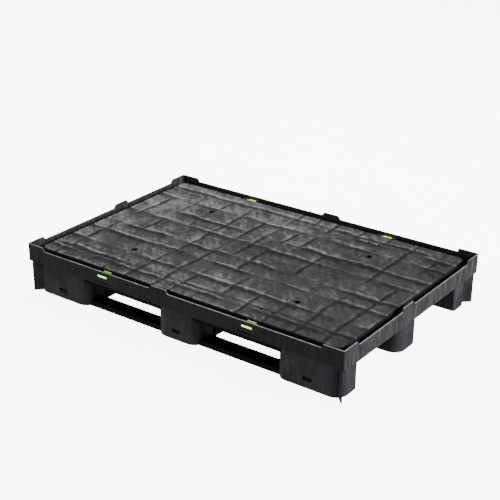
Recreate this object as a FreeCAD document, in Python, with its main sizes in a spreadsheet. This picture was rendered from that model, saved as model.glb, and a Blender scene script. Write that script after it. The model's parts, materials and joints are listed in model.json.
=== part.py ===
import FreeCAD, Part
import os
import re

import Sketcher

# A reusable 1200 x 800 plastic pallet for use with a collapsible sleeve: a ribbed deck inside a raised
# rim, a groove between them that the sleeve stands in, nine hollow blocks, three runners, and four
# bolts that slide in through the rim to lock the sleeve.
# Origin: the middle of the footprint, on the ground. X runs along the length, Y along the width, +Z up.
# "Front" is the -Y long side and "right" is the +X short side. Millimetres throughout.

DIMENSIONS = {
    "half_length": (600, "half of the footprint along X"),
    "half_width": (400, "half of the footprint along Y"),
    "block_height": (110, "ground to the underside of the base frame"),
    "frame_top": (120, "floor of the sleeve groove"),
    "deck_top": (154, "top of the deck"),
    "lip_top": (156, "top of the rim"),
    "ear_top": (168, "top of the corner ears and the tabs"),
    "rim_wall": (4, "thickness of the rim and the ears"),
    "end_rim_low": (105, "bottom of the rim on the short sides"),
    "line_low": (149.5, "bottom of the fine groove below the lip"),
    "line_high": (151.5, "top of that groove"),
    "line_depth": (1.2, "depth of that groove"),
    "deck_half_length": (569, "half of the deck along X"),
    "deck_half_width": (367, "half of the deck along Y"),
    "deck_round": (18, "radius of the deck's corners"),
    "deck_skin": (5, "thickness of the deck under its top"),
    "rib": (4, "thickness of the ribs and the deck's skirt"),
    "frame_ledge": (36, "width of the base frame's outer ledge"),
    "ear_round": (7, "radius of the ears' outer corner"),
    "ear_foot_x": (525, "where an ear's slope starts, along X"),
    "ear_head_x": (532, "where an ear's slope ends, along X"),
    "ear_foot_y": (323, "where an ear's slope starts, along Y"),
    "ear_head_y": (331, "where an ear's slope ends, along Y"),
    "tab_offset": (50, "middle of a side to the middle of its tab"),
    "tab_foot": (35, "half of a tab at its foot"),
    "tab_head": (29, "half of a tab at its head"),
    "block_setback": (20, "rim face back to the block face"),
    "corner_near_x": (360, "inner end of the corner and end blocks"),
    "side_near_y": (293, "inner face of the blocks along the long sides"),
    "middle_half_x": (80, "half of the middle blocks along X"),
    "middle_half_y": (60, "half of the middle row's blocks along Y"),
    "block_wall": (5, "wall of the hollow blocks"),
    "outer_round": (38, "radius of the blocks' outward corners"),
    "inner_round": (15, "radius of the blocks' other corners"),
    "end_round": (8, "radius of the corner blocks' inner corner on the short side"),
    "cross_low": (22, "underside of the ribs inside the blocks"),
    "cross_high": (80, "top of the ribs inside the blocks"),
    "fin_thickness": (3, "thickness of the guard fin on a corner block"),
    "fin_inner": (566, "where the fin leaves the corner, along X"),
    "fin_outer": (592, "outer edge of the fin, along X"),
    "window_length": (30, "snap window along X"),
    "window_low": (23, "bottom of the snap window"),
    "window_high": (36, "top of the snap window"),
    "beam_width": (40, "side beam across"),
    "beam_height": (28, "side beam upright"),
    "beam_wall": (3, "wall of the side beam"),
    "beam_half_length": (540, "half of the side beam along X"),
    "runner_outer_y": (363, "outer face of an outer runner"),
    "runner_width": (50, "runner across"),
    "runner_height": (18, "runner upright"),
    "runner_half_length": (560, "half of a runner's strip along X"),
    "pad_gap": (1, "gap from a runner's pad to the block's wall"),
    "foot_reach_y": (252, "inner edge of the feet beside the blocks"),
    "foot_height": (22, "height of those feet"),
    "foot_length": (40, "a foot along X"),
    "tongue_inset": (14, "block's end to the bridge between a pad and its foot"),
    "relief_pitch": (50, "pitch of the pockets under a runner"),
    "relief_length": (42, "a pocket along the runner"),
    "relief_width": (40, "a pocket across the runner"),
    "relief_depth": (13, "depth of a pocket"),
    "hook_half": (9, "half of a snap hook along X"),
    "hook_arm": (4, "thickness of a snap hook's arm"),
    "hook_high": (34, "top of a snap hook"),
    "hook_barb": (5, "how far the hook's barb stands out"),
    "latch_x": (276, "middle of a latch along X"),
    "latch_z": (139.5, "middle of a latch above the ground"),
    "bolt_length": (38, "bolt section along X"),
    "bolt_height": (6.2, "bolt section upright"),
    "bolt_outer_y": (399, "outer face of a locked bolt"),
    "bolt_inner_y": (371, "tip of a locked bolt"),
    "bolt_gap": (0.5, "gap round a bolt in its windows"),
    "catch_length": (30, "the bolt's raised catch along X"),
    "catch_depth": (4, "the bolt's raised catch along Y"),
    "catch_top": (146.5, "top of the bolt's catch"),
    "lug_length": (46, "over the bolt's two side lugs, along X"),
    "lug_height": (12, "side lugs upright"),
    "lug_depth": (2.2, "side lugs along Y"),
    "lug_gap": (0.4, "gap at each end of the lugs' travel"),
    "grip_length": (22, "finger groove in the bolt's outer face"),
    "grip_height": (3, "finger groove upright"),
    "grip_depth": (1.5, "depth of the finger groove"),
    "housing_half": (32, "half of a latch housing along X"),
    "housing_inner_y": (381, "inner face of a latch housing"),
    "housing_back": (2, "wall behind the lugs' room"),
    "housing_top": (148, "top of a latch housing"),
    "slot_length": (62, "drain slot under a latch"),
    "slot_low": (117.5, "bottom of the drain slot"),
    "slot_high": (121.5, "top of the drain slot"),
    "large_hole": (11, "radius of the deck's large holes"),
    "large_hole_x": (315, "place of the large holes along X"),
    "large_hole_y": (202, "place of the large holes along Y"),
    "small_hole": (5, "radius of the deck's small holes"),
    "small_hole_depth": (12, "depth of the small holes, which are blind"),
    "small_boss": (8, "radius of the boss round a small hole"),
    "small_hole_y": (301, "place of the small holes along Y"),
    "small_hole_half": (19, "half of the distance between a pair of small holes"),
    "rib_x_a": (35, "rib line across the deck"),
    "rib_x_b": (105, "rib line across the deck"),
    "rib_x_c": (205, "rib line across the deck"),
    "rib_x_d": (305, "rib line across the deck"),
    "rib_x_e": (407, "rib line across the deck"),
    "rib_x_f": (507, "rib line across the deck"),
    "rib_y_a": (57, "rib line along the deck"),
    "rib_y_b": (129, "rib line along the deck"),
    "rib_y_c": (229, "rib line along the deck"),
    "rib_y_d": (312, "rib line along the deck"),
}

CROSS_RIBS_X = ("rib_x_a", "rib_x_b", "rib_x_c", "rib_x_d", "rib_x_e", "rib_x_f")
CROSS_RIBS_Y = ("rib_y_a", "rib_y_b", "rib_y_c", "rib_y_d")

doc = FreeCAD.newDocument("Pallet")
sheet = doc.addObject("Spreadsheet::Sheet", "size")
subparts = []


def fill_sheet():
    """One row for each driving dimension: its alias, its number and what it is."""
    for row, (alias, (number, note)) in enumerate(DIMENSIONS.items(), start=1):
        sheet.set(f"A{row}", alias)
        sheet.set(f"B{row}", str(number))
        sheet.set(f"C{row}", note)
        sheet.setAlias(f"B{row}", alias)
    doc.recompute()


def bind(obj, prop, formula):
    """Tie a property to a formula written in the sheet's aliases."""
    linked = re.sub(r"[a-z][a-z_]*", lambda word: alias_or_word(word.group()), formula)
    obj.setExpression(prop, linked)


def alias_or_word(word):
    if word in DIMENSIONS:
        return "size." + word
    return word


def place(obj, corner):
    for axis, formula in zip("xyz", corner):
        bind(obj, f"Placement.Base.{axis}", formula)


def keep(obj, name):
    """Give a finished sub-part its own label and list it for export."""
    obj.Label = name
    subparts.append(obj)
    return obj


# ---- simple solids and booleans ----------------------------------------------------------------

def box(name, low, high):
    """A box between two corners, each three formulas."""
    solid = doc.addObject("Part::Box", name)
    place(solid, low)
    for prop, start, end in zip(("Length", "Width", "Height"), low, high):
        bind(solid, prop, f"({end}) - ({start})")
    return solid


def upright_cylinder(name, radius, foot, height):
    solid = doc.addObject("Part::Cylinder", name)
    bind(solid, "Radius", radius)
    bind(solid, "Height", height)
    place(solid, foot)
    return solid


def level_cylinder(name, radius, start, length):
    """A cylinder whose axis runs along +Y."""
    solid = doc.addObject("Part::Cylinder", name)
    along_y = FreeCAD.Rotation(FreeCAD.Vector(1, 0, 0), -90)
    solid.Placement = FreeCAD.Placement(FreeCAD.Vector(), along_y)
    bind(solid, "Radius", radius)
    bind(solid, "Height", length)
    place(solid, start)
    return solid


def fuse(name, solids):
    joined = doc.addObject("Part::MultiFuse", name)
    joined.Shapes = solids
    joined.Refine = True
    return joined


def cut(name, base, tool):
    rest = doc.addObject("Part::Cut", name)
    rest.Base = base
    rest.Tool = tool
    return rest


def mirror(name, source, direction):
    """The source's twin across the plane through the origin that faces along direction."""
    twin = doc.addObject("Part::Mirroring", name)
    twin.Source = source
    twin.Normal = direction
    return twin


def capsule(name, length, height, y_start, y_end):
    """A round-ended bar along Y, centred on the front right latch."""
    reach = f"(({length}) - ({height})) / 2"
    radius = f"({height}) / 2"
    middle = box(
        name + "_middle",
        (f"latch_x - {reach}", y_start, f"latch_z - {radius}"),
        (f"latch_x + {reach}", y_end, f"latch_z + {radius}"),
    )
    ends = []
    for side in "+-":
        start = (f"latch_x {side} {reach}", y_start, "latch_z")
        end_name = f"{name}_end{len(ends)}"
        ends.append(level_cylinder(end_name, radius, start, f"({y_end}) - ({y_start})"))
    return fuse(name, [middle] + ends)


# ---- sketched bodies -----------------------------------------------------------------------------

def sketch(body, name, role, outline, offset):
    """A closed outline of straight edges on one of the body's own origin planes."""
    outlined = body.newObject("Sketcher::SketchObject", name)
    plane = [feature for feature in body.Origin.OriginFeatures if feature.Role == role][0]
    outlined.AttachmentSupport = [(plane, "")]
    outlined.MapMode = "FlatFace"
    bind(outlined, "AttachmentOffset.Base.z", offset)
    count = len(outline)
    for index in range(count):
        start = FreeCAD.Vector(1, index, 0)
        end = FreeCAD.Vector(1, index + 1, 0)
        outlined.addGeometry(Part.LineSegment(start, end))
    for index in range(count):
        outlined.addConstraint(Sketcher.Constraint("Coincident", index, 2, (index + 1) % count, 1))
    for index, point in enumerate(outline):
        for kind, formula in zip(("DistanceX", "DistanceY"), point):
            number = outlined.addConstraint(Sketcher.Constraint(kind, -1, 1, index, 1, 1.0))
            bind(outlined, f"Constraints[{number}]", formula)
    return outlined


def padded(name, role, outline, offset, depth, rounds=None, reverse=False):
    """A body padded from an outline. rounds: a radius formula and the outline's corners that it rounds."""
    body = doc.addObject("PartDesign::Body", name)
    profile = sketch(body, name + "_outline", role, outline, offset)
    pad = body.newObject("PartDesign::Pad", name + "_pad")
    pad.Profile = profile
    pad.Reversed = reverse
    bind(pad, "Length", depth)
    doc.recompute()
    last = pad
    for radius, corners in (rounds or {}).items():
        fillet = body.newObject("PartDesign::Fillet", f"{name}_round{corners[0]}")
        points = [profile.Geometry[corner].StartPoint for corner in corners]
        fillet.Base = (last, edges_at(last.Shape, profile, points))
        bind(fillet, "Radius", radius)
        doc.recompute()
        last = fillet
    return body


def edges_at(shape, profile, points):
    """Names of the shape's edges that rise square from the given points of the outline."""
    normal = profile.Placement.Rotation.multVec(FreeCAD.Vector(0, 0, 1))
    names = []
    for point in points:
        corner = profile.Placement.multVec(point)
        for number, edge in enumerate(shape.Edges, start=1):
            run = edge.Vertexes[-1].Point - edge.Vertexes[0].Point
            rises = run.cross(normal).Length < 1e-6
            from_corner = edge.Vertexes[0].Point - corner
            if rises and from_corner.cross(normal).Length < 1e-6:
                names.append(f"Edge{number}")
    return names


def rectangle(x_low, x_high, y_low, y_high):
    """Corners in turn: 0 low-low, 1 high-low, 2 high-high, 3 low-high."""
    return [(x_low, y_low), (x_high, y_low), (x_high, y_high), (x_low, y_high)]


# ---- deck and base frame -------------------------------------------------------------------------

def rib_grid(name, half_x, half_y, low, high):
    """Ribs across and along, on both sides of the middle, and one on the long centre line."""
    ribs = [box(name + "_spine", (f"-({half_x})", "-rib / 2", low), (half_x, "rib / 2", high))]
    for side in ("", "-"):
        for line in CROSS_RIBS_X:
            corner_low = (f"{side}{line} - rib / 2", f"-({half_y})", low)
            corner_high = (f"{side}{line} + rib / 2", half_y, high)
            ribs.append(box(f"{name}_across{len(ribs)}", corner_low, corner_high))
        for line in CROSS_RIBS_Y:
            corner_low = (f"-({half_x})", f"{side}{line} - rib / 2", low)
            corner_high = (half_x, f"{side}{line} + rib / 2", high)
            ribs.append(box(f"{name}_along{len(ribs)}", corner_low, corner_high))
    return ribs


def deck_holes():
    """Tools for four large through holes and eight small blind ones, and the bosses that close the latter."""
    holes = []
    bosses = []
    for side_x in ("", "-"):
        for side_y in ("", "-"):
            foot = (side_x + "large_hole_x", side_y + "large_hole_y", "frame_top - 1")
            height = "deck_top - frame_top + 2"
            holes.append(upright_cylinder(f"hole{len(holes)}", "large_hole", foot, height))
            for step in "+-":
                across = f"{side_x}latch_x {step} small_hole_half"
                along = side_y + "small_hole_y"
                foot = (across, along, "deck_top - small_hole_depth")
                height = "small_hole_depth + 1"
                holes.append(upright_cylinder(f"hole{len(holes)}", "small_hole", foot, height))
                foot = (across, along, "deck_top - small_hole_depth - rib")
                height = "small_hole_depth + rib - deck_skin / 2"
                bosses.append(upright_cylinder(f"boss{len(bosses)}", "small_boss", foot, height))
    return holes, bosses


def make_deck():
    """A skin on a skirt and a grid of ribs, open below."""
    outside = rectangle("-deck_half_length", "deck_half_length", "-deck_half_width", "deck_half_width")
    inside = rectangle(
        "-deck_half_length + rib", "deck_half_length - rib", "-deck_half_width + rib", "deck_half_width - rib"
    )
    corners = [0, 1, 2, 3]
    depth = "deck_top - frame_top"
    block = padded("deck_outside", "XY_Plane", outside, "frame_top", depth, {"deck_round": corners})
    hollow = padded(
        "deck_inside", "XY_Plane", inside, "frame_top", depth + " - deck_skin", {"deck_round - rib": corners}
    )
    half_x = "deck_half_length - rib / 2"
    half_y = "deck_half_width - rib / 2"
    ribs = rib_grid("deck_rib", half_x, half_y, "frame_top", "deck_top - deck_skin")
    holes, bosses = deck_holes()
    ribbed = fuse("deck_ribbed", [cut("deck_tray", block, hollow)] + ribs + bosses)
    keep(cut("deck_shell", ribbed, fuse("deck_holes", holes)), "deck_shell")


def make_base_frame():
    """The ledge that is the groove's floor, with the deck's ribs carried on below it."""
    outside = rectangle(
        "-half_length + rim_wall", "half_length - rim_wall", "-half_width + rim_wall", "half_width - rim_wall"
    )
    plate = padded(
        "frame_plate", "XY_Plane", outside, "block_height", "frame_top - block_height",
        {"ear_round - rim_wall": [0, 1, 2, 3]},
    )
    half_x = "half_length - rim_wall - frame_ledge"
    half_y = "half_width - rim_wall - frame_ledge"
    opening = box(
        "frame_opening",
        (f"-({half_x})", f"-({half_y})", "block_height - 1"),
        (half_x, half_y, "frame_top + 1"),
    )
    ribs = rib_grid("frame_rib", half_x + " + 1", half_y + " + 1", "block_height", "frame_top")
    keep(fuse("base_frame", [cut("frame_ring", plate, opening)] + ribs), "base_frame")


# ---- rim ------------------------------------------------------------------------------------------

def rim_outline(end, bottom, tab_middle):
    """A rim wall seen square on, with its raised tab beside the middle."""
    return [
        ("-" + end, bottom),
        (end, bottom),
        (end, "lip_top"),
        (f"{tab_middle} + tab_foot", "lip_top"),
        (f"{tab_middle} + tab_head", "ear_top"),
        (f"{tab_middle} - tab_head", "ear_top"),
        (f"{tab_middle} - tab_foot", "lip_top"),
        ("-" + end, "lip_top"),
    ]


def latch_openings():
    """The windows for the two bolts of the front rim and the drain slots below them."""
    window = capsule(
        "latch_window", "bolt_length + 2 * bolt_gap", "bolt_height + 2 * bolt_gap",
        "-half_width - 1", "-half_width + rim_wall + 1",
    )
    slot = box(
        "drain_slot",
        ("latch_x - slot_length / 2", "-half_width - 1", "slot_low"),
        ("latch_x + slot_length / 2", "-half_width + rim_wall + 1", "slot_high"),
    )
    right = fuse("latch_openings_right", [window, slot])
    left = mirror("latch_openings_left", right, FreeCAD.Vector(1, 0, 0))
    return fuse("latch_openings", [right, left])


def make_rims():
    """Four straight rim walls. Each pair is the same piece turned half round, tab and all."""
    tab_rounds = {"tab_head / 4": [3, 4, 5, 6]}
    outline = rim_outline("ear_foot_x", "block_height", "-tab_offset")
    front_wall = padded(
        "rim_front_wall", "XZ_Plane", outline, "half_width", "rim_wall", tab_rounds, reverse=True
    )
    front_line = box(
        "rim_front_line",
        ("-ear_foot_x - 1", "-half_width - 1", "line_low"),
        ("ear_foot_x + 1", "-half_width + line_depth", "line_high"),
    )
    front = cut("rim_front", front_wall, fuse("rim_front_openings", [latch_openings(), front_line]))
    outline = rim_outline("ear_foot_y", "end_rim_low", "-tab_offset")
    right_wall = padded(
        "rim_right_wall", "YZ_Plane", outline, "half_length - rim_wall", "rim_wall", tab_rounds
    )
    right_line = box(
        "rim_right_line",
        ("half_length - line_depth", "-ear_foot_y - 1", "line_low"),
        ("half_length + 1", "ear_foot_y + 1", "line_high"),
    )
    right = cut("rim_right", right_wall, right_line)
    keep(front, "rim_front")
    keep(half_turn("rim_back", front), "rim_back")
    keep(right, "rim_right")
    keep(half_turn("rim_left", right), "rim_left")


def half_turn(name, source):
    """The source turned half round about Z, as two mirrors."""
    across = mirror(name + "_across", source, FreeCAD.Vector(1, 0, 0))
    return mirror(name, across, FreeCAD.Vector(0, 1, 0))


def keep_in_corners(name, front_right):
    """The front right piece and its three mirror twins."""
    keep(front_right, name + "_front_right")
    front_left = mirror(name + "_front_left", front_right, FreeCAD.Vector(1, 0, 0))
    keep(front_left, name + "_front_left")
    for side, source in (("right", front_right), ("left", front_left)):
        keep(mirror(f"{name}_back_{side}", source, FreeCAD.Vector(0, 1, 0)), f"{name}_back_{side}")


def make_ears():
    """An angle at each corner, taller than the rim, whose two ends slope down to the rim's height."""
    inner_x = "half_length - rim_wall"
    inner_y = "-half_width + rim_wall"
    outline = [
        ("ear_foot_x", "-half_width"),
        ("half_length", "-half_width"),
        ("half_length", "-ear_foot_y"),
        (inner_x, "-ear_foot_y"),
        (inner_x, inner_y),
        ("ear_foot_x", inner_y),
    ]
    rounds = {"ear_round": [1], "ear_round - rim_wall": [4]}
    angle = padded("ear_angle", "XY_Plane", outline, "block_height", "ear_top - block_height", rounds)
    slope_x = [("ear_foot_x - 1", "lip_top"), ("ear_foot_x", "lip_top"), ("ear_head_x", "ear_top")]
    slope_x += [("ear_head_x", "ear_top + 1"), ("ear_foot_x - 1", "ear_top + 1")]
    slope_y = [("-ear_foot_y + 1", "lip_top"), ("-ear_foot_y", "lip_top"), ("-ear_head_y", "ear_top")]
    slope_y += [("-ear_head_y", "ear_top + 1"), ("-ear_foot_y + 1", "ear_top + 1")]
    off_x = padded("ear_slope_x", "XZ_Plane", slope_x, "half_width - 2 * rim_wall", "3 * rim_wall")
    off_y = padded("ear_slope_y", "YZ_Plane", slope_y, "half_length - 2 * rim_wall", "3 * rim_wall")
    skirt = box(
        "ear_skirt",
        (inner_x, "-half_width + ear_round", "end_rim_low"),
        ("half_length", "-ear_foot_y", "block_height + 1"),
    )
    ear = cut("ear_front_right", fuse("ear_full", [angle, skirt]), fuse("ear_slopes", [off_x, off_y]))
    keep_in_corners("corner_ear", ear)


# ---- blocks and side beams -------------------------------------------------------------------------

def tube(name, limits, rounds):
    """A hollow block: two rounded prisms, one inside the other. rounds gives each radius its corners."""
    x_low, x_high, y_low, y_high = limits
    inside = rectangle(
        f"{x_low} + block_wall", f"{x_high} - block_wall", f"{y_low} + block_wall", f"{y_high} - block_wall"
    )
    inner_rounds = {f"{radius} - block_wall": corners for radius, corners in rounds.items()}
    outside = rectangle(*limits)
    shell = padded(name + "_outside", "XY_Plane", outside, "0", "block_height", rounds)
    room = padded(name + "_inside", "XY_Plane", inside, "-1", "block_height + 2", inner_rounds)
    return cut(name + "_tube", shell, room)


def cross_ribs(name, limits, lines):
    """Upright ribs inside a block: one along X in the middle and some across it."""
    x_low, x_high, y_low, y_high = limits
    mid_y = f"(({y_low}) + ({y_high})) / 2"
    ribs = [
        box(
            name + "_rib_long",
            (f"{x_low} + block_wall / 2", f"{mid_y} - rib / 2", "cross_low"),
            (f"{x_high} - block_wall / 2", f"{mid_y} + rib / 2", "cross_high"),
        )
    ]
    for line in lines:
        middle = f"({x_low}) + (({x_high}) - ({x_low})) * {line}"
        ribs.append(
            box(
                f"{name}_rib{len(ribs)}",
                (f"{middle} - rib / 2", f"{y_low} + block_wall / 2", "cross_low"),
                (f"{middle} + rib / 2", f"{y_high} - block_wall / 2", "cross_high"),
            )
        )
    return ribs


END_X = ("corner_near_x", "half_length - block_setback")
SIDE_Y = ("-half_width + block_setback", "-side_near_y")
CORNER_LIMITS = (*END_X, *SIDE_Y)
MIDDLE_LIMITS = ("-middle_half_x", "middle_half_x", *SIDE_Y)
END_LIMITS = (*END_X, "-middle_half_y", "middle_half_y")
CENTRE_LIMITS = ("-middle_half_x", "middle_half_x", "-middle_half_y", "middle_half_y")
CORNER_ROUNDS = {"outer_round": [0, 1], "end_round": [2], "inner_round": [3]}
MIDDLE_ROUNDS = {"outer_round": [0, 1], "inner_round": [2, 3]}
END_ROUNDS = {"outer_round": [1, 2], "inner_round": [0, 3]}
CENTRE_ROUNDS = {"inner_round": [0, 1, 2, 3]}
CORNER_CENTRE = "(corner_near_x + half_length - block_setback) / 2"
BEAM_OUTER_Y = "-half_width + block_setback + block_wall"
THIRDS = (1 / 3, 2 / 3)


def beam_space(name, inset):
    """The side beam's outer box, or its bore where inset is the wall."""
    past_end = "beam_half_length" if inset == "0" else "beam_half_length + 1"
    return box(
        name,
        (f"-({past_end})", f"{BEAM_OUTER_Y} + {inset}", f"block_height - beam_height + {inset}"),
        (past_end, f"{BEAM_OUTER_Y} + beam_width - {inset}", f"block_height - {inset}"),
    )


def corner_fin():
    """A thin upright blade that stands out from the corner block towards the pallet's corner."""
    shift = "fin_thickness / 2 / sqrt(2)"
    lean = "half_length - half_width"
    outline = [
        (f"fin_inner - {shift}", f"{lean} - fin_inner - {shift}"),
        (f"fin_outer - {shift}", f"{lean} - fin_outer - {shift}"),
        (f"fin_outer + {shift}", f"{lean} - fin_outer + {shift}"),
        (f"fin_inner + {shift}", f"{lean} - fin_inner + {shift}"),
    ]
    return padded("corner_fin", "XY_Plane", outline, "0", "block_height")


def side_passages():
    """What passes through the front blocks: beam, runner, the bridges to its feet and the snap windows."""
    tools = [beam_space("beam_passage", "0"), runner_space("side_runner_passage", "-runner_outer_y")]
    for centre in ("0", CORNER_CENTRE):
        tools.append(
            box(
                f"window_space{len(tools)}",
                (f"{centre} - window_length / 2", "-half_width + block_setback - 1", "window_low"),
                (f"{centre} + window_length / 2", f"{BEAM_OUTER_Y} + 1", "window_high"),
            )
        )
    for _, bridge in CORNER_FEET + MIDDLE_FEET:
        tools.append(tongue(f"tongue_space{len(tools)}", bridge))
    return fuse("side_passages", tools)


def block(name, limits, rounds, extra=()):
    """A hollow block with its ribs, before the beam and the runner pass through it."""
    return fuse(name + "_body", [tube(name, limits, rounds), *extra] + cross_ribs(name, limits, THIRDS))


def make_blocks():
    """Nine hollow blocks, open below: four at the corners, two on each centre line and one in the middle."""
    passages = side_passages()
    corner = block("corner_block", CORNER_LIMITS, CORNER_ROUNDS, [corner_fin()])
    keep_in_corners("corner_block", cut("corner_block_front_right", corner, passages))
    middle = block("middle_block", MIDDLE_LIMITS, MIDDLE_ROUNDS)
    middle_front = keep(cut("middle_block_front", middle, passages), "middle_block_front")
    keep(mirror("middle_block_back", middle_front, FreeCAD.Vector(0, 1, 0)), "middle_block_back")

    strip = runner_space("middle_runner_passage", "-runner_width / 2")
    end = block("end_block", END_LIMITS, END_ROUNDS)
    end_right = keep(cut("end_block_right", end, strip), "end_block_right")
    keep(mirror("end_block_left", end_right, FreeCAD.Vector(1, 0, 0)), "end_block_left")
    centre = block("centre_block", CENTRE_LIMITS, CENTRE_ROUNDS)
    keep(cut("centre_block", centre, strip), "centre_block")


def make_side_beams():
    """A hollow beam under each long side that runs through the tops of its three blocks."""
    beam = cut("side_beam", beam_space("beam_outside", "0"), beam_space("beam_bore", "beam_wall"))
    keep(beam, "side_beam_front")
    keep(mirror("side_beam_back", beam, FreeCAD.Vector(0, 1, 0)), "side_beam_back")


# ---- runners ---------------------------------------------------------------------------------------

def runner_space(name, outer_y):
    return box(
        name,
        ("-runner_half_length", outer_y, "0"),
        ("runner_half_length", f"{outer_y} + runner_width", "runner_height"),
    )


def foot_limits(edge, side):
    """From a block's end at edge, inwards along X: where its foot lies and where the bridge to it lies."""
    foot_end = f"{edge} {side} foot_length"
    tongue_start = f"{edge} {side} tongue_inset"
    if side == "+":
        return (edge, foot_end), (tongue_start, foot_end)
    return (foot_end, edge), (foot_end, tongue_start)


CORNER_FEET = [foot_limits("corner_near_x", "+")]
MIDDLE_FEET = [foot_limits("-middle_half_x", "+"), foot_limits("middle_half_x", "-")]


def tongue(name, span):
    """The low bridge through a block's inner wall, from the runner's pad to its foot."""
    return box(
        name,
        (span[0], "-side_near_y - block_wall - pad_gap", "0"),
        (span[1], "-side_near_y", "runner_height"),
    )


def pad_in(name, limits, rounds):
    """The runner's broad part inside a hollow block, just clear of the block's walls."""
    x_low, x_high, y_low, y_high = limits
    inset = "block_wall + pad_gap"
    outline = rectangle(
        f"{x_low} + {inset}", f"{x_high} - ({inset})", f"{y_low} + {inset}", f"{y_high} - ({inset})"
    )
    pad_rounds = {f"{radius} - ({inset})": corners for radius, corners in rounds.items()}
    return padded(name, "XY_Plane", outline, "0", "runner_height", pad_rounds)


def strip_with_reliefs(name, outer_y):
    """The straight strip of a runner, with a row of pockets in its underside."""
    body = doc.addObject("PartDesign::Body", name)
    inner_y = f"{outer_y} + runner_width"
    outline = rectangle("-runner_half_length", "runner_half_length", outer_y, inner_y)
    profile = sketch(body, name + "_outline", "XY_Plane", outline, "0")
    pad = body.newObject("PartDesign::Pad", name + "_pad")
    pad.Profile = profile
    bind(pad, "Length", "runner_height")
    doc.recompute()
    side = "(runner_width - relief_width) / 2"
    first = "-runner_half_length + (relief_pitch - relief_length)"
    mouth = rectangle(first, f"{first} + relief_length", f"{outer_y} + {side}", f"{inner_y} - {side}")
    pocket = body.newObject("PartDesign::Pocket", name + "_pocket")
    pocket.Profile = sketch(body, name + "_mouth", "XY_Plane", mouth, "0")
    pocket.Reversed = True
    bind(pocket, "Length", "relief_depth")
    doc.recompute()
    if pocket.Shape.Volume >= pad.Shape.Volume:
        raise RuntimeError(name + ": the pocket cuts nothing")
    row = body.newObject("PartDesign::LinearPattern", name + "_row")
    row.Originals = [pocket]
    row.Direction = (pocket.Profile[0], ["H_Axis"])
    count = int((2 * sheet.runner_half_length - sheet.relief_length) // sheet.relief_pitch)
    row.Occurrences = count
    bind(row, "Length", f"relief_pitch * {count - 1}")
    body.Tip = row
    return body


def snap_hook(name, centre):
    """An arm that stands on the pad, with a barb that catches in the block's window."""
    back = f"{BEAM_OUTER_Y} + pad_gap"
    arm = box(
        name + "_arm",
        (f"{centre} - hook_half", back, "runner_height / 2"),
        (f"{centre} + hook_half", f"{back} + hook_arm", "hook_high"),
    )
    barb_outline = [
        (f"{back} + 1", "window_low + 1"),
        (f"{back} - hook_barb", "window_low + 1"),
        (f"{back} - hook_barb", "window_low + 3"),
        (f"{back} + 1", "hook_high"),
    ]
    barb = padded(name + "_barb", "YZ_Plane", barb_outline, f"{centre} - hook_half", "2 * hook_half")
    return [arm, barb]


def foot(name, span):
    """The low part of an outer runner that reaches out on the ground beside a block's inner face."""
    return box(name, (span[0], "-side_near_y", "0"), (span[1], "-foot_reach_y", "foot_height"))


def make_runners():
    """Three runners along X that tie the blocks' feet together."""
    mirror_x = FreeCAD.Vector(1, 0, 0)
    corner = [pad_in("side_corner_pad", CORNER_LIMITS, CORNER_ROUNDS)]
    for ground, bridge in CORNER_FEET:
        corner.append(tongue("side_corner_tongue", bridge))
        corner.append(foot("side_corner_foot", ground))
    corner += snap_hook("side_corner_hook", CORNER_CENTRE)
    corner_group = fuse("side_corner_group", corner)
    pieces = [strip_with_reliefs("side_strip", "-runner_outer_y"), corner_group]
    pieces.append(mirror("side_corner_twin", corner_group, mirror_x))
    pieces.append(pad_in("side_middle_pad", MIDDLE_LIMITS, MIDDLE_ROUNDS))
    for ground, bridge in MIDDLE_FEET:
        pieces.append(tongue(f"side_middle_tongue{len(pieces)}", bridge))
        pieces.append(foot(f"side_middle_foot{len(pieces)}", ground))
    pieces += snap_hook("side_middle_hook", "0")
    front = keep(fuse("runner_front", pieces), "runner_front")
    keep(mirror("runner_back", front, FreeCAD.Vector(0, 1, 0)), "runner_back")

    end_pad = pad_in("centre_end_pad", END_LIMITS, END_ROUNDS)
    middle_pieces = [strip_with_reliefs("centre_strip", "-runner_width / 2"), end_pad]
    middle_pieces.append(mirror("centre_end_twin", end_pad, mirror_x))
    middle_pieces.append(pad_in("centre_pad", CENTRE_LIMITS, CENTRE_ROUNDS))
    keep(fuse("runner_middle", middle_pieces), "runner_middle")


# ---- sleeve latches ----------------------------------------------------------------------------------

def make_latch_housings():
    """Open-topped channels in the groove, against the rim, that guide the bolts and stop their side lugs."""
    inner = "-housing_inner_y"
    against_rim = "-half_width + rim_wall"
    case = box(
        "housing_case",
        ("latch_x - housing_half", against_rim, "frame_top"),
        ("latch_x + housing_half", inner, "housing_top"),
    )
    lug_reach = "(lug_length / 2 + bolt_gap)"
    lug_rise = "(lug_height / 2 + bolt_gap)"
    lug_room = box(
        "lug_room",
        (f"latch_x - {lug_reach}", f"{against_rim} - 1", f"latch_z - {lug_rise}"),
        (f"latch_x + {lug_reach}", f"{inner} - housing_back", f"latch_z + {lug_rise}"),
    )
    bolt_reach = "(bolt_length / 2 + bolt_gap)"
    channel = box(
        "bolt_channel",
        (f"latch_x - {bolt_reach}", f"{against_rim} - 1", "latch_z - bolt_height / 2 - bolt_gap"),
        (f"latch_x + {bolt_reach}", f"{inner} + 1", "housing_top + 1"),
    )
    keep_in_corners("latch_housing", cut("housing", case, fuse("housing_room", [lug_room, channel])))


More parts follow.
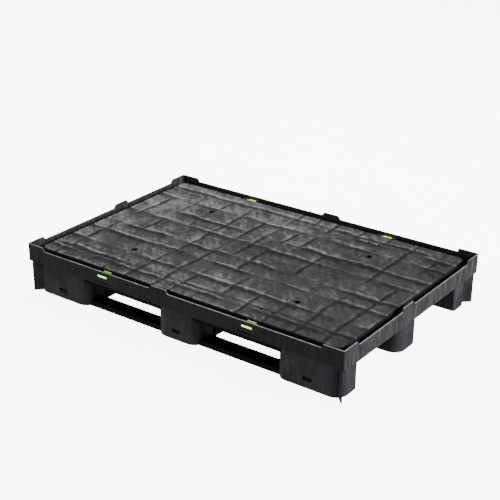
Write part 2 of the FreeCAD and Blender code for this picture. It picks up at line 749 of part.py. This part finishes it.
def make_latches():
    """Round-ended bolts in the locked place, each with a raised catch and side lugs that stop its travel."""
    behind_catch = "-bolt_inner_y - catch_depth / 2"
    bar = capsule("bolt_bar", "bolt_length", "bolt_height", "-bolt_outer_y", behind_catch)
    catch = box(
        "bolt_catch",
        ("latch_x - catch_length / 2", "-bolt_inner_y - catch_depth", "latch_z - bolt_height / 2"),
        ("latch_x + catch_length / 2", "-bolt_inner_y", "catch_top"),
    )
    lug_inner = "-housing_inner_y - housing_back - lug_gap"
    lugs = box(
        "bolt_lugs",
        ("latch_x - lug_length / 2", f"{lug_inner} - lug_depth", "latch_z - lug_height / 2"),
        ("latch_x + lug_length / 2", lug_inner, "latch_z + lug_height / 2"),
    )
    grip = box(
        "bolt_grip",
        ("latch_x - grip_length / 2", "-bolt_outer_y - 1", "latch_z - grip_height / 2"),
        ("latch_x + grip_length / 2", "-bolt_outer_y + grip_depth", "latch_z + grip_height / 2"),
    )
    keep_in_corners("latch", cut("latch", fuse("bolt_body", [bar, catch, lugs]), grip))


# ---- checks and export ---------------------------------------------------------------------------------

def check_document():
    for obj in doc.Objects:
        if "Invalid" in obj.State or "Error" in obj.State:
            raise RuntimeError(f"{obj.Name} failed: {obj.State}")
    for part in subparts:
        if part.Shape.isNull() or not part.Shape.isValid():
            raise RuntimeError(part.Label + " has no valid shape")
        if len(part.Shape.Solids) != 1:
            raise RuntimeError(f"{part.Label} is {len(part.Shape.Solids)} solids")


def export_parts():
    os.makedirs("parts", exist_ok=True)
    for part in subparts:
        part.Shape.exportStep(f"parts/{part.Label}.step")
        size = part.Shape.BoundBox
        spans = f"{size.XLength:.1f} x {size.YLength:.1f} x {size.ZLength:.1f}"
        print(f"{part.Label}: {spans} mm, {part.Shape.Volume / 1000:.1f} cm3")


fill_sheet()
make_deck()
make_base_frame()
make_rims()
make_ears()
make_blocks()
make_side_beams()
make_runners()
make_latch_housings()
make_latches()
doc.recompute()
check_document()
export_parts()
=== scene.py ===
import json
import math

import bmesh
import bpy
import numpy as np
from mathutils import Matrix, Vector


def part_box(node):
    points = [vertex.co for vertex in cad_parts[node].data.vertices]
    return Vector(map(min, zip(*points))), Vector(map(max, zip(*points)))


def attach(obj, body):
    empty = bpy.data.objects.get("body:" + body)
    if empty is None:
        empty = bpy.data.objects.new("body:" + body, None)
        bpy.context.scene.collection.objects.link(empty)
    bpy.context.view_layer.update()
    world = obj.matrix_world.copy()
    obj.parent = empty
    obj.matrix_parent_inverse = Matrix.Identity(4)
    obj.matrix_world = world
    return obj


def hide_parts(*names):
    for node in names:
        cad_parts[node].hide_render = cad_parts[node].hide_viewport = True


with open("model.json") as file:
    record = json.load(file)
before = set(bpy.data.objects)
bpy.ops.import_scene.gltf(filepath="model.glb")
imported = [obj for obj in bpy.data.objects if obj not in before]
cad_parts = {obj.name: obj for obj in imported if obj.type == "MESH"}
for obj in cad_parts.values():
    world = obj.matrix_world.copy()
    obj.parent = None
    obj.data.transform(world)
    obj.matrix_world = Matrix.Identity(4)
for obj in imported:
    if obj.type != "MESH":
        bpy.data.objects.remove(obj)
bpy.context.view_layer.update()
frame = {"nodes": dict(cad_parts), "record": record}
NODES = frame["nodes"]
MM = 0.001
PALLET = "pallet"

# Places that the CAD sets, read from the frame.
DECK_LOW, DECK_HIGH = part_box("deck_shell")
RIM_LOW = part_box("rim_front")[0]
LATCH_LOW, LATCH_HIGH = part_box("latch_front_right")
LATCH_X = (LATCH_LOW.x + LATCH_HIGH.x) / 2

# The deck's ribs show through its top as sunken lines, at these distances from the middle.
SINKS_X = (35 * MM, 105 * MM, 205 * MM, 305 * MM, 407 * MM, 507 * MM)
SINKS_Y = (57 * MM, 129 * MM, 229 * MM, 295 * MM, 320 * MM)
DECK_ROUND = 18 * MM
LARGE_HOLE = 11 * MM
SMALL_HOLE = 5 * MM
# The top rounds down by this much at its outer edge and, over a short slope, at each hole's wall.
EDGE_ROUND = 2.5 * MM
HOLE_EASE = 4 * MM
# The relief fades out over this band along the edge, and the grid that carries it has this step.
FLAT_BAND = 14 * MM
DECK_STEP = 3 * MM
# Faces of the CAD deck whose every corner is this near its top give way to the sheet.
TOP_TOLERANCE = 0.1 * MM
# Tone of the skirt, ribs and hole walls.
PLAIN_TONE = 0.32
LARGE_HOLE_X = 315 * MM
LARGE_HOLE_Y = 202 * MM
SMALL_HOLE_Y = 301 * MM
SMALL_HOLE_HALF = 19 * MM
SIDES = (1, -1)
LARGE_HOLES = [(side_x * LARGE_HOLE_X, side_y * LARGE_HOLE_Y) for side_x in SIDES for side_y in SIDES]
SMALL_HOLES = [
    (side_x * LATCH_X + step * SMALL_HOLE_HALF, side_y * SMALL_HOLE_Y)
    for side_x in SIDES
    for side_y in SIDES
    for step in SIDES
]


# Half of the studio floor, in metres.
STUDIO = 60.0

# The viewpoint, which has a small sideways shift of the lens.
CAMERA_PLACE = (1.98757, -2.74754, 1.66819)
CAMERA_LENS = 83.676
CAMERA_SHIFT = 0.05
CAMERA_TURN = math.radians(37.2694)
CAMERA_DOWN = math.radians(23.9524)
CAMERA_ROLL = math.radians(-0.1331)

# Softboxes: name, place, width in metres and power in watts.
SOFTBOXES = (
    ("top", (-1.0, 1.6, 3.2), 2.6, 260),
    ("right", (3.6, 0.6, 1.6), 1.3, 230),
    ("left", (-3.4, -1.2, 1.2), 0.8, 30),
    ("front", (-1.4, -3.6, 0.7), 1.8, 55),
)
AIM = Vector((0, 0, 0.1))
WORLD_STRENGTH = 0.35
STUDIO_GLOW = 8.0


# ---- camera, lights and studio ----------------------------------------------------------------------

def make_camera():
    """The viewpoint: above the front right corner, looking back to the left."""
    data = bpy.data.cameras.new("camera")
    data.lens = CAMERA_LENS
    data.shift_x = CAMERA_SHIFT
    camera = bpy.data.objects.new("camera", data)
    turn = Matrix.Rotation(CAMERA_TURN, 4, "Z")
    tilt = Matrix.Rotation(math.radians(90) - CAMERA_DOWN, 4, "X")
    roll = Matrix.Rotation(CAMERA_ROLL, 4, "Z")
    camera.matrix_world = Matrix.Translation(CAMERA_PLACE) @ turn @ tilt @ roll
    bpy.context.scene.collection.objects.link(camera)
    bpy.context.scene.camera = camera


def add_softbox(name, place, width, power):
    """A square area light that faces the middle of the pallet."""
    data = bpy.data.lights.new(name, "AREA")
    data.size = width
    data.energy = power
    light = bpy.data.objects.new(name, data)
    light.location = place
    light.rotation_euler = (AIM - Vector(place)).to_track_quat("-Z", "Y").to_euler()
    bpy.context.scene.collection.objects.link(light)


def make_lights():
    """Even white surroundings and four softboxes."""
    world = bpy.data.worlds.new("studio")
    world.use_nodes = True
    background = world.node_tree.nodes["Background"]
    background.inputs["Color"].default_value = (1.0, 1.0, 1.0, 1.0)
    background.inputs["Strength"].default_value = WORLD_STRENGTH
    bpy.context.scene.world = world
    for name, place, width, power in SOFTBOXES:
        add_softbox(name, place, width, power)


def pale_glow():
    """A nearly white surface that is bright of its own, so that it shows no shadow."""
    graph = Graph("studio_white")
    pale = graph.ramp(graph.noise(scale=3.0, detail=2.0), [(0.0, grey(0.90)), (1.0, grey(0.94))])
    graph.shader.inputs["Roughness"].default_value = 0.9
    graph.link(pale, "Base Color")
    graph.link(pale, "Emission Color")
    graph.shader.inputs["Emission Strength"].default_value = STUDIO_GLOW
    return graph.material


def add_backdrop(name, mesh, material):
    """A part of the studio that lights nothing and isn't mirrored in anything."""
    mesh.materials.append(material)
    backdrop = bpy.data.objects.new(name, mesh)
    backdrop.visible_diffuse = False
    backdrop.visible_glossy = False
    bpy.context.scene.collection.objects.link(backdrop)
    return backdrop


def make_studio():
    """A wide floor, and far off a round wall that stands behind low views."""
    material = pale_glow()
    floor = bpy.data.meshes.new("floor")
    corners = [(-STUDIO, -STUDIO, 0), (STUDIO, -STUDIO, 0), (STUDIO, STUDIO, 0), (-STUDIO, STUDIO, 0)]
    floor.from_pydata(corners, [], [(0, 1, 2, 3)])
    add_backdrop("floor", floor, material)
    ring = bmesh.new()
    bmesh.ops.create_cone(
        ring, segments=96, radius1=0.95 * STUDIO, radius2=0.95 * STUDIO, depth=STUDIO, cap_ends=False
    )
    wall = bpy.data.meshes.new("wall")
    ring.to_mesh(wall)
    ring.free()
    add_backdrop("wall", wall, material).visible_shadow = False


# ---- material graphs ---------------------------------------------------------------------------------

class Graph:
    """A material and short calls that add nodes to it. Coordinates are the object's own, in metres."""

    def __init__(self, name):
        self.material = bpy.data.materials.new(name)
        self.material.use_nodes = True
        self.nodes = self.material.node_tree.nodes
        self.links = self.material.node_tree.links
        self.shader = self.nodes["Principled BSDF"]
        self.place = self.nodes.new("ShaderNodeTexCoord").outputs["Object"]

    def join(self, output, socket):
        self.links.new(output, socket)

    def link(self, output, name):
        self.join(output, self.shader.inputs[name])

    def stretched(self, scale, turn=0.0):
        """The object's coordinates scaled along each axis, and turned about Z first."""
        mapping = self.nodes.new("ShaderNodeMapping")
        mapping.inputs["Rotation"].default_value = (0.0, 0.0, turn)
        mapping.inputs["Scale"].default_value = scale
        self.join(self.place, mapping.inputs["Vector"])
        return mapping.outputs["Vector"]

    def noise(self, scale, detail=4.0, rough=0.55, vector=None, twist=0.0):
        node = self.nodes.new("ShaderNodeTexNoise")
        node.inputs["Scale"].default_value = scale
        node.inputs["Detail"].default_value = detail
        node.inputs["Roughness"].default_value = rough
        node.inputs["Distortion"].default_value = twist
        self.join(vector or self.place, node.inputs["Vector"])
        return node.outputs["Fac"]

    def ramp(self, factor, stops):
        node = self.nodes.new("ShaderNodeValToRGB")
        elements = node.color_ramp.elements
        while len(elements) < len(stops):
            elements.new(1.0)
        for element, (position, colour) in zip(elements, stops):
            element.position = position
            element.color = (*colour, 1.0)
        self.join(factor, node.inputs["Fac"])
        return node.outputs["Color"]

    def span(self, value, low, high, start=0.0, end=1.0):
        """Maps low..high onto start..end, clamped."""
        node = self.nodes.new("ShaderNodeMapRange")
        for name, number in (("From Min", low), ("From Max", high), ("To Min", start), ("To Max", end)):
            node.inputs[name].default_value = number
        self.join(value, node.inputs["Value"])
        return node.outputs["Result"]

    def math(self, kind, first, second):
        node = self.nodes.new("ShaderNodeMath")
        node.operation = kind
        for socket, value in zip(node.inputs, (first, second)):
            if isinstance(value, (int, float)):
                socket.default_value = value
            else:
                self.join(value, socket)
        return node.outputs["Value"]

    def mix(self, factor, first, second):
        node = self.nodes.new("ShaderNodeMix")
        node.data_type = "RGBA"
        self.join(factor, node.inputs["Factor"])
        for name, value in (("A", first), ("B", second)):
            socket = [entry for entry in node.inputs if entry.name == name and entry.type == "RGBA"][0]
            if isinstance(value, tuple):
                socket.default_value = (*value, 1.0)
            else:
                self.join(value, socket)
        return [entry for entry in node.outputs if entry.type == "RGBA"][0]

    def facing(self, axis):
        """How far the surface faces along one of the world's axes, from -1 to 1."""
        geometry = self.nodes.new("ShaderNodeNewGeometry")
        split = self.nodes.new("ShaderNodeSeparateXYZ")
        self.join(geometry.outputs["Normal"], split.inputs["Vector"])
        return split.outputs[axis]

    def along(self, axis):
        """The object's own coordinate along one axis."""
        split = self.nodes.new("ShaderNodeSeparateXYZ")
        self.join(self.place, split.inputs["Vector"])
        return split.outputs[axis]

    def attribute(self, name):
        node = self.nodes.new("ShaderNodeAttribute")
        node.attribute_name = name
        return node.outputs["Fac"]

    def bump(self, height, distance, strength=1.0):
        node = self.nodes.new("ShaderNodeBump")
        node.inputs["Strength"].default_value = strength
        node.inputs["Distance"].default_value = distance
        self.join(height, node.inputs["Height"])
        self.link(node.outputs["Normal"], "Normal")


def grey(level, warmth=0.0):
    """A grey: warmer, with more red and less blue, or colder, with more blue, where warmth is below 0."""
    return (level * (1 + max(warmth, 0)), level, level * (1 - warmth))


def deck_material():
    """Recycled black plastic seen on its broad top: mottled and scuffed, with the painted shade of the sunken
    lines and their painted glints carried in its tone.
    """
    graph = Graph("deck_plastic")
    tone = graph.attribute("tone")
    fine = graph.noise(170.0, 4.0, 0.75)
    scuffs = graph.noise(9.0, 6.0, 0.65, graph.stretched((1.0, 14.0, 1.0), 0.7))
    hairs = graph.noise(16.0, 3.0, 0.6, graph.stretched((16.0, 1.0, 1.0), 0.35))
    marked = graph.math("ADD", tone, graph.span(fine, 0.34, 0.66, -0.10, 0.10))
    marked = graph.math("ADD", marked, graph.span(scuffs, 0.35, 0.75, -0.05, 0.07))
    marked = graph.math("ADD", marked, graph.span(hairs, 0.60, 0.70, 0.0, 0.12))
    cool = graph.ramp(marked, [(0.0, grey(0.003)), (0.5, grey(0.029, -0.04)), (1.0, grey(0.14, -0.02))])
    warm = graph.ramp(marked, [(0.0, grey(0.003)), (0.5, grey(0.029, 0.03)), (1.0, grey(0.14, 0.02))])
    patches = graph.noise(5.0, 3.0, 0.5)
    graph.link(graph.mix(graph.span(patches, 0.4, 0.6), cool, warm), "Base Color")
    graph.link(graph.span(scuffs, 0.3, 0.7, 0.58, 0.42), "Roughness")
    graph.shader.inputs["Specular IOR Level"].default_value = 0.03
    graph.bump(graph.math("ADD", fine, scuffs), 0.25 * MM, 0.5)
    return graph.material


def rim_material():
    """Black plastic with fine upright drag marks, strongest on the short sides, and a painted highlight on
    its top faces and lip.
    """
    graph = Graph("rim_plastic")
    blotch = graph.noise(14.0, 5.0, 0.6)
    streak = graph.noise(8.0, 5.0, 0.7, graph.stretched((14.0, 14.0, 1.2)))
    end_face = graph.span(graph.math("ABSOLUTE", graph.facing("X"), 0.0), 0.5, 0.9)
    weight = graph.math("MULTIPLY", graph.span(streak, 0.35, 0.68), graph.span(end_face, 0.0, 1.0, 0.25, 1.0))
    body = graph.ramp(blotch, [(0.25, grey(0.010, -0.10)), (0.75, grey(0.020, -0.11))])
    drawn = graph.mix(weight, body, grey(0.075, -0.04))
    # The upward faces, away from the floor, get a patchy painted highlight.
    top = graph.span(graph.facing("Z"), 0.35, 0.8)
    painted_top_highlight = graph.ramp(graph.noise(40.0, 4.0, 0.7), [(0.3, grey(0.05, -0.04)), (0.7, grey(0.20, -0.04))])
    above_floor = graph.span(graph.along("Z"), RIM_LOW.z + 20 * MM, RIM_LOW.z + 30 * MM)
    graph.link(graph.mix(graph.math("MULTIPLY", top, above_floor), drawn, painted_top_highlight), "Base Color")
    graph.link(graph.span(streak, 0.3, 0.7, 0.52, 0.36), "Roughness")
    graph.shader.inputs["Specular IOR Level"].default_value = 0.12
    graph.bump(graph.math("ADD", streak, blotch), 0.3 * MM, 0.6)
    return graph.material


def moulded_material(name, low, high, rough_low, rough_high):
    """Moulded black plastic between two greys, with blotches, faint upright drag marks and a fine grain."""
    graph = Graph(name)
    drag = graph.noise(9.0, 4.0, 0.65, graph.stretched((12.0, 12.0, 1.4)))
    blotch = graph.math("MULTIPLY", graph.math("ADD", graph.noise(11.0, 5.0, 0.6, twist=0.4), drag), 0.5)
    fine = graph.noise(60.0, 4.0, 0.7)
    graph.link(graph.ramp(blotch, [(0.38, grey(low, -0.12)), (0.64, grey(high, -0.13))]), "Base Color")
    graph.link(graph.span(fine, 0.3, 0.7, rough_high, rough_low), "Roughness")
    graph.shader.inputs["Specular IOR Level"].default_value = 0.12
    graph.bump(fine, 0.2 * MM, 0.5)
    return graph.material


def latch_material():
    """Bright plastic: pale yellow at the outer end and on the inner face, full green elsewhere, with a
    painted glow that is strongest at the outer end.
    """
    graph = Graph("latch_green")
    y = graph.along("Y")
    off_middle = graph.math("ABSOLUTE", y, 0.0)
    outer = graph.span(off_middle, LATCH_HIGH.y * -1 + 12 * MM, LATCH_LOW.y * -1 - 2 * MM)
    inward = graph.math("MULTIPLY", graph.math("SIGN", y, 0.0), graph.facing("Y"))
    inner_face = graph.span(inward, -0.5, -0.8)
    pale_part = graph.math("MAXIMUM", outer, inner_face)
    cloud = graph.noise(90.0, 4.0, 0.6)
    full = graph.ramp(cloud, [(0.3, (0.04, 0.30, 0.006)), (0.7, (0.11, 0.52, 0.015))])
    pale = graph.ramp(cloud, [(0.3, (0.70, 0.90, 0.06)), (0.7, (0.92, 0.98, 0.16))])
    colour = graph.mix(pale_part, full, pale)
    graph.link(colour, "Base Color")
    # A painted glow: the latch shines of its own, most at its outer end.
    painted_glow = graph.mix(outer, (0.01, 0.06, 0.0), (0.72, 1.0, 0.05))
    graph.link(painted_glow, "Emission Color")
    graph.shader.inputs["Emission Strength"].default_value = 1.6
    graph.link(graph.span(cloud, 0.3, 0.7, 0.5, 0.34), "Roughness")
    graph.bump(cloud, 0.1 * MM, 0.4)
    return graph.material


# ---- the deck's top --------------------------------------------------------------------------------

def lattice_noise(x, y, cell, seed):
    """Smooth noise from 0 to 1 whose features are about cell metres across."""
    table = np.random.RandomState(seed).rand(64, 64)
    u = x / cell + 1000.0
    v = y / cell + 1000.0
    i = np.floor(u).astype(int)
    j = np.floor(v).astype(int)
    s = u - i
    t = v - j
    s = s * s * (3 - 2 * s)
    t = t * t * (3 - 2 * t)
    near = table[i % 64, j % 64] * (1 - s) + table[(i + 1) % 64, j % 64] * s
    far = table[i % 64, (j + 1) % 64] * (1 - s) + table[(i + 1) % 64, (j + 1) % 64] * s
    return near * (1 - t) + far * t


def sink_line(offset, along, seed, reach):
    """One sunken line: its depth, the broad shade on its low side and the glint on its high side, 0 to 1."""
    flat = along * 0
    offset = offset - (lattice_noise(along, flat, 70 * MM, seed) - 0.5) * 9 * MM
    offset = offset - (lattice_noise(along, flat, 16 * MM, seed + 3) - 0.5) * 5 * MM
    width = (3.0 + 4.0 * lattice_noise(along, flat, 60 * MM, seed + 1)) * MM
    strength = np.clip(2.4 * lattice_noise(along, flat, 85 * MM, seed + 2) - 0.55, 0.10, 1.0)
    depth = strength * np.exp(-((offset / width) ** 2))
    shade = strength * np.exp(-(((offset + 0.5 * reach) / reach) ** 2))
    glint = strength * np.exp(-(((offset - 1.9 * width) / width) ** 2))
    return depth, shade, glint


def cell_painted_shading(y):
    """Painted shading: each cell between two sunken lines along the deck is painted lighter at its front and
    darker at its back.
    """
    lines = sorted([side * line for line in SINKS_Y for side in SIDES] + [DECK_LOW.y, DECK_HIGH.y])
    behind = np.clip(np.searchsorted(lines, y, side="right"), 1, len(lines) - 1)
    bounds = np.array(lines)
    share = (y - bounds[behind - 1]) / (bounds[behind] - bounds[behind - 1])
    return 0.14 * (0.5 - share)


def deck_relief(x, y):
    """Height in metres, at or below 0, and tone from 0 to 1 for every point of the deck's top."""
    depth = np.zeros_like(x)
    shade = np.zeros_like(x)
    glint = np.zeros_like(x)
    seed = 11
    for sinks, across, along, gleam, reach in ((SINKS_X, -x, y, 0.4, 5 * MM), (SINKS_Y, y, x, 1.0, 13 * MM)):
        for line in sinks:
            for side in SIDES:
                seed += 7
                parts = sink_line(across - side * line, along, seed, reach)
                depth = np.maximum(depth, parts[0])
                shade = np.maximum(shade, parts[1])
                glint = np.maximum(glint, gleam * parts[2])
    # Patterns from coarse to fine, bent by a slow noise so that none shows its grid.
    bend_x = x + 22 * MM * (lattice_noise(x, y, 90 * MM, 50) - 0.5)
    bend_y = y + 22 * MM * (lattice_noise(x, y, 90 * MM, 51) - 0.5)
    broad = lattice_noise(x, y, 150 * MM, 3) - 0.5
    patch = lattice_noise(bend_x + 0.35 * bend_y, bend_y - 0.2 * bend_x, 55 * MM, 4) - 0.5
    small = lattice_noise(bend_x, bend_y, 20 * MM, 5) - 0.5
    tiny = lattice_noise(bend_x, bend_y, 8 * MM, 6) - 0.5
    across_grain = bend_x * 0.77 + bend_y * 0.64
    along_grain = (bend_y * 0.77 - bend_x * 0.64) * 0.2
    ripple = lattice_noise(across_grain, along_grain, 8 * MM, 8) - 0.5
    height = -1.8 * MM * depth - 1.2 * MM * patch - 0.6 * MM * small - 0.25 * MM * tiny - 1.0 * MM
    # The tone is a middle grey, then the patterns, the painted shade in and below the sunken lines with their
    # painted glints above, the painted shading of each cell, the slow fade across the deck, a darker patch
    # near the middle and light and dark rings round the large holes.
    tone = 0.50 + 0.22 * broad + 0.16 * patch + 0.16 * small + 0.22 * tiny + 0.24 * ripple
    tone += -0.26 * depth - 0.28 * shade + 0.34 * glint + cell_painted_shading(y)
    tone += -0.15 * x / DECK_HIGH.x + 0.04 * y / DECK_HIGH.y
    middle_reach = np.hypot((x - 90 * MM) / (210 * MM), (y - 10 * MM) / (150 * MM))
    tone -= 0.12 * np.exp(-(middle_reach ** 2))
    for index, (hole_x, hole_y) in enumerate(LARGE_HOLES):
        reach = np.hypot(x - hole_x, y - hole_y)
        ring = np.exp(-((reach - 34 * MM) / (24 * MM)) ** 2)
        tone += 0.14 * ring * np.sin(reach / (1.9 * MM) + 12 * lattice_noise(x, y, 22 * MM, 40 + index))
        height -= 0.5 * MM * np.exp(-((reach / (26 * MM)) ** 2))
    return height, np.clip(tone, 0.0, 1.0)


def pull_to_circle(points, centre, radius, outward):
    """Moves the points that are inside a hole, or outside a round corner, onto the circle."""
    offset = points[:, :2] - centre
    reach = np.hypot(offset[:, 0], offset[:, 1])
    if outward:
        wrong = reach < radius
    else:
        side = np.sign(centre)
        past = (offset * side > 0).all(axis=1)
        wrong = past & (reach > radius)
    reach = np.where(reach < 1e-9, 1e-9, reach)
    points[wrong, :2] = centre + offset[wrong] * (radius / reach[wrong])[:, None]
    return wrong


def deck_sheet():
    """The deck's top as a fine grid with its holes, round corners, sunken lines and a rounded edge."""
    columns = int(round((DECK_HIGH.x - DECK_LOW.x) / DECK_STEP)) + 1
    rows = int(round((DECK_HIGH.y - DECK_LOW.y) / DECK_STEP)) + 1
    xs = np.linspace(DECK_LOW.x, DECK_HIGH.x, columns)
    ys = np.linspace(DECK_LOW.y, DECK_HIGH.y, rows)
    grid_x, grid_y = np.meshgrid(xs, ys, indexing="ij")
    points = np.stack([grid_x.ravel(), grid_y.ravel(), np.zeros(columns * rows)], axis=1)
    outside = np.zeros(len(points), bool)
    for side_x in SIDES:
        for side_y in SIDES:
            centre = np.array([side_x * (DECK_HIGH.x - DECK_ROUND), side_y * (DECK_HIGH.y - DECK_ROUND)])
            outside |= pull_to_circle(points, centre, DECK_ROUND, False)
    in_hole = np.zeros(len(points), bool)
    level = np.ones(len(points))
    for holes, radius in ((LARGE_HOLES, LARGE_HOLE), (SMALL_HOLES, SMALL_HOLE)):
        for hole in holes:
            in_hole |= pull_to_circle(points, np.array(hole), radius, True)
            beyond = np.hypot(points[:, 0] - hole[0], points[:, 1] - hole[1]) - radius
            level = np.minimum(level, np.clip(beyond / HOLE_EASE, 0.0, 1.0))
    height, tone = deck_relief(points[:, 0], points[:, 1])
    edge_x = np.maximum(np.abs(points[:, 0]) - DECK_HIGH.x + DECK_ROUND, 0)
    edge_y = np.maximum(np.abs(points[:, 1]) - DECK_HIGH.y + DECK_ROUND, 0)
    inward = DECK_ROUND - np.hypot(edge_x, edge_y)
    settle = np.clip(inward / FLAT_BAND, 0.0, 1.0)
    curl = np.clip(1 - inward / EDGE_ROUND, 0.0, 1.0)
    points[:, 2] = DECK_HIGH.z + height * settle * level - EDGE_ROUND * (1 - level)
    points[:, 2] -= EDGE_ROUND * (1 - np.sqrt(np.clip(1 - curl ** 2, 0, 1)))
    # A lighter band just inside the outer edge is a painted highlight on the rounded edge.
    tone = np.clip(tone + 0.16 * np.exp(-((inward - 2 * MM) / (3 * MM)) ** 2), 0, 1)
    number = np.arange(columns * rows).reshape(columns, rows)
    corners = [number[:-1, :-1], number[1:, :-1], number[1:, 1:], number[:-1, 1:]]
    faces = np.stack([corner.ravel() for corner in corners], axis=1)
    drop = outside[faces].all(axis=1) | in_hole[faces].all(axis=1)
    faces = faces[~drop]
    used = np.unique(faces)
    renumber = np.full(len(points), -1)
    renumber[used] = np.arange(len(used))
    return points[used], renumber[faces], tone[used]


def make_deck():
    """The deck shell's own ribs, skirt and hole walls under a detailed top."""
    points, faces, tone = deck_sheet()
    shell = bmesh.new()
    shell.from_mesh(NODES["deck_shell"].data)
    flat_top = [face for face in shell.faces if min(v.co.z for v in face.verts) > DECK_HIGH.z - TOP_TOLERANCE]
    bmesh.ops.delete(shell, geom=flat_top, context="FACES")
    for vert in shell.verts:
        if vert.co.z > DECK_HIGH.z - TOP_TOLERANCE:
            vert.co.z = DECK_HIGH.z - EDGE_ROUND
    mesh = bpy.data.meshes.new("deck_moulding")
    shell.to_mesh(mesh)
    shell.free()
    sheet = bpy.data.meshes.new("deck_sheet")
    sheet.from_pydata(points.tolist(), [], faces.tolist())
    sheet.polygons.foreach_set("use_smooth", [True] * len(sheet.polygons))
    sheet.attributes.new("tone", "FLOAT", "POINT").data.foreach_set("value", tone.astype(np.float32))
    sheet.update()
    plain = mesh.attributes.new("tone", "FLOAT", "POINT")
    plain.data.foreach_set("value", np.full(len(mesh.vertices), PLAIN_TONE, np.float32))
    deck = bpy.data.objects.new("deck_moulding", mesh)
    top = bpy.data.objects.new("deck_top_sheet", sheet)
    material = deck_material()
    for piece in (deck, top):
        piece.data.materials.clear()
        piece.data.materials.append(material)
        bpy.context.scene.collection.objects.link(piece)
    with bpy.context.temp_override(active_object=deck, selected_editable_objects=[deck, top]):
        bpy.ops.object.join()
    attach(deck, PALLET)
    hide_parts("deck_shell")


# ---- carried-over CAD nodes ----------------------------------------------------------------------------

def soften(obj, width):
    """Rounds the hard edges a little, as moulding leaves them."""
    bevel = obj.modifiers.new("soft_edges", "BEVEL")
    bevel.width = width
    bevel.segments = 2
    bevel.limit_method = "ANGLE"
    bevel.angle_limit = math.radians(40)
    bevel.harden_normals = False


def dress_nodes():
    """Gives every CAD node but the deck its material and softened edges."""
    looks = {
        "rim_plastic": (rim_material(), 0.7 * MM),
        "block_plastic": (moulded_material("block_plastic", 0.020, 0.056, 0.34, 0.50), 1.0 * MM),
        # The beam and runner greys are nearly black: their black plastic with painted shade, for where they
        # sit under the deck.
        "beam_plastic": (moulded_material("beam_plastic", 0.0005, 0.0012, 0.55, 0.7), 1.0 * MM),
        "runner_plastic": (moulded_material("runner_plastic", 0.0005, 0.0015, 0.45, 0.6), 1.2 * MM),
        "housing_plastic": (moulded_material("housing_plastic", 0.001, 0.002, 0.5, 0.6), 0.5 * MM),
        "latch_green": (latch_material(), 0.6 * MM),
    }
    for entry in frame["record"]["subparts"]:
        node = NODES[entry["node"]]
        if entry["material_slot"] == "deck_plastic":
            continue
        material, width = looks[entry["material_slot"]]
        node.data.materials.clear()
        node.data.materials.append(material)
        soften(node, width)


make_camera()
make_lights()
make_studio()
make_deck()
dress_nodes()
